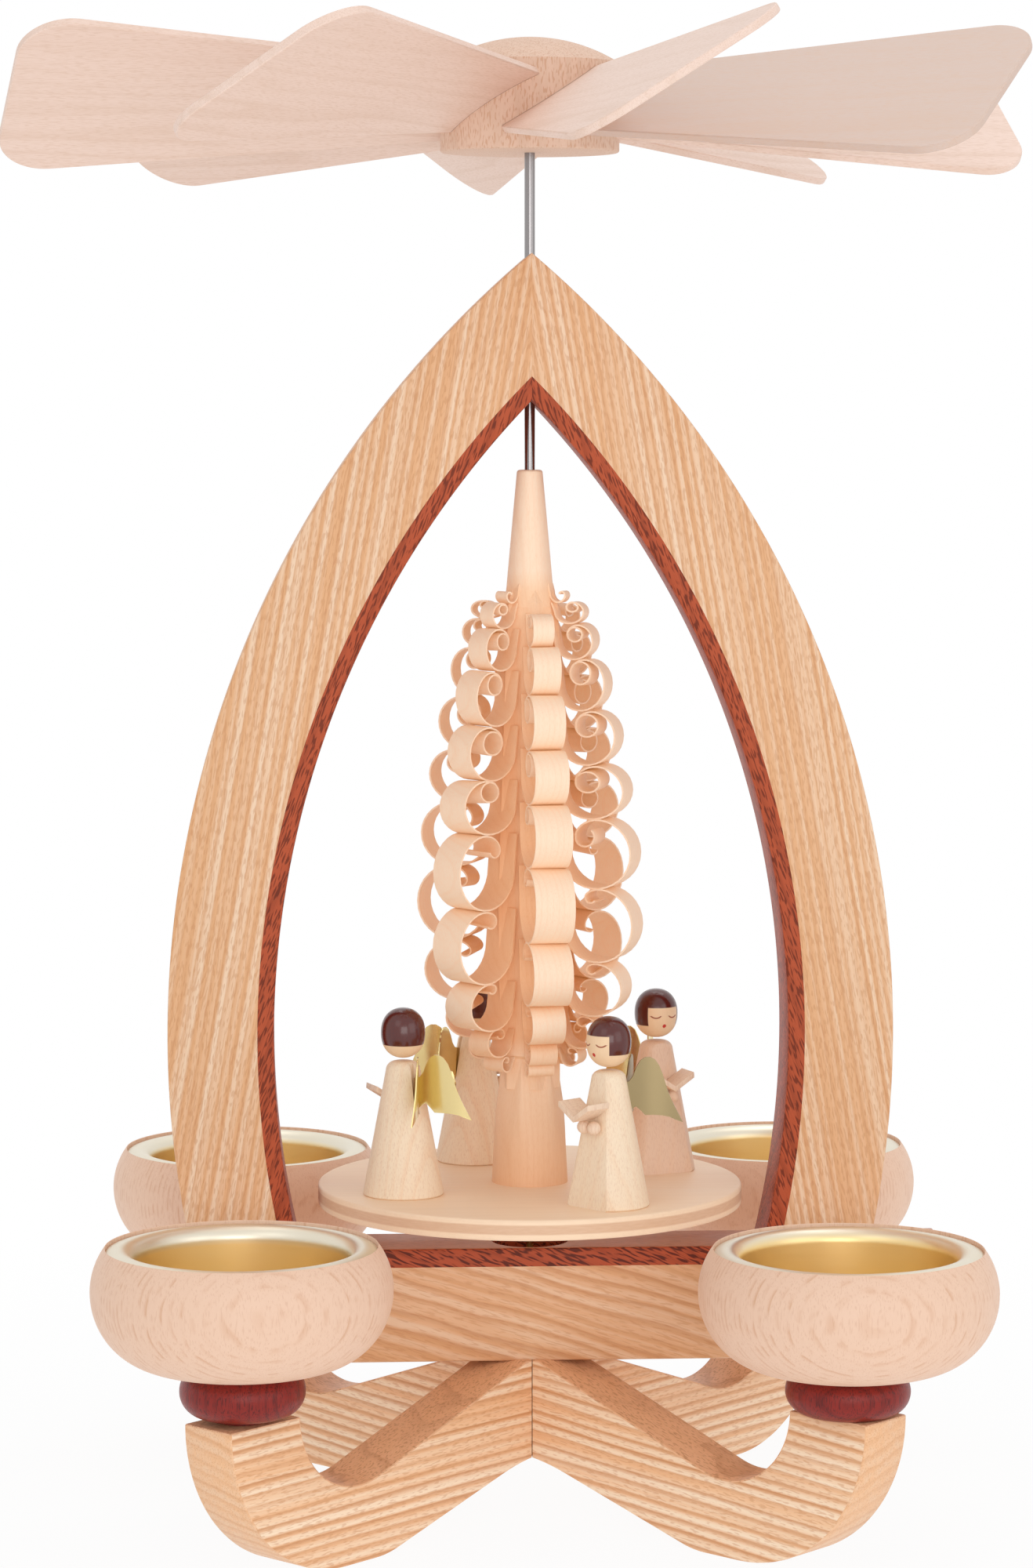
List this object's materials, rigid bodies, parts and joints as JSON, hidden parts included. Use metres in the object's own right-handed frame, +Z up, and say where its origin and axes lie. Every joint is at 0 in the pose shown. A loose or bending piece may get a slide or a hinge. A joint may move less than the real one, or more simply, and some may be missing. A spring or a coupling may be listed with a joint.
{
  "type": "candle carousel",
  "caption": "Wind-driven wooden candle pyramid: a cross foot with candle bowls, a pointed arch, a curled shaving tree with angels on a turntable and a slanted-blade rotor above.",
  "frame": {"origin": "on the turning axis, at the level of the surface it stands on", "axes": "+Z up along the turning axis, +X along the rail and the plane of the arch, -Y towards the front"},
  "size_m": [0.2001, 0.2001, 0.285],
  "materials": {
    "ash": "oiled straight-grained ash",
    "padauk": "oiled red-brown hardwood",
    "beech": "fine-turned beech",
    "red_wood": "oiled dark red hardwood",
    "gold_metal": "satin gold-tone sheet",
    "bearing_glass": "clear",
    "brass": "bright",
    "steel": "polished rod",
    "birch": "sanded plywood and light wood",
    "lime_wood": "sanded light wood",
    "hair": "glossy painted hair on a light wooden ball"
  },
  "bodies": {
    "stand": {"foot_beam_lower": "ash", "foot_beam_upper": "ash", "cross_rail": "ash", "arch_half_left": "ash", "arch_half_right": "ash", "rail_strip": "padauk", "arch_strip_left": "padauk", "arch_strip_right": "padauk", "rail_dowel": "beech", "spacer_disc_front_left": "red_wood", "candle_bowl_front_left": "beech", "spacer_disc_front_right": "red_wood", "candle_bowl_front_right": "beech", "spacer_disc_back_right": "red_wood", "candle_bowl_back_right": "beech", "spacer_disc_back_left": "red_wood", "candle_bowl_back_left": "beech", "bearing_cup": "bearing_glass", "guide_bush": "brass"},
    "carousel": {"pivot_pin": "brass", "turntable": "birch", "shaving_tree": "lime_wood", "rotor_shaft": "steel", "angel_1_body": "lime_wood", "angel_1_head": "hair", "angel_1_book": "birch", "angel_1_hand_left": "birch", "angel_1_hand_right": "birch", "angel_1_wings": "brass", "angel_2_body": "lime_wood", "angel_2_head": "hair", "angel_2_book": "birch", "angel_2_hand_left": "birch", "angel_2_hand_right": "birch", "angel_2_wings": "brass", "angel_3_body": "lime_wood", "angel_3_head": "hair", "angel_3_book": "birch", "angel_3_hand_left": "birch", "angel_3_hand_right": "birch", "angel_3_wings": "brass", "angel_4_body": "lime_wood", "angel_4_head": "hair", "angel_4_book": "birch", "angel_4_hand_left": "birch", "angel_4_hand_right": "birch", "angel_4_wings": "brass"},
    "rotor": {"rotor_hub": "birch", "rotor_blade_1": "birch", "rotor_blade_2": "birch", "rotor_blade_3": "birch", "rotor_blade_4": "birch", "rotor_blade_5": "birch", "rotor_blade_6": "birch", "rotor_blade_7": "birch", "rotor_blade_8": "birch"},
    "cup_front_left": {"candle_cup_front_left": "gold_metal"},
    "cup_front_right": {"candle_cup_front_right": "gold_metal"},
    "cup_back_right": {"candle_cup_back_right": "gold_metal"},
    "cup_back_left": {"candle_cup_back_left": "gold_metal"}
  },
  "joints": [
    {"name": "carousel_spin", "type": "hinge", "parent": "stand", "child": "carousel", "pos_m": [0, 0, 0.0459], "axis": [0, 0, 1], "continuous": true},
    {"name": "rotor_lift", "type": "slide", "parent": "carousel", "child": "rotor", "axis": [0, 0, 1], "range_m": [0, 0.02]},
    {"name": "cup_lift_front_left", "type": "slide", "parent": "stand", "child": "cup_front_left", "axis": [0, 0, 1], "range_m": [0, 0.02]},
    {"name": "cup_lift_front_right", "type": "slide", "parent": "stand", "child": "cup_front_right", "axis": [0, 0, 1], "range_m": [0, 0.02]},
    {"name": "cup_lift_back_right", "type": "slide", "parent": "stand", "child": "cup_back_right", "axis": [0, 0, 1], "range_m": [0, 0.02]},
    {"name": "cup_lift_back_left", "type": "slide", "parent": "stand", "child": "cup_back_left", "axis": [0, 0, 1], "range_m": [0, 0.02]}
  ]
}
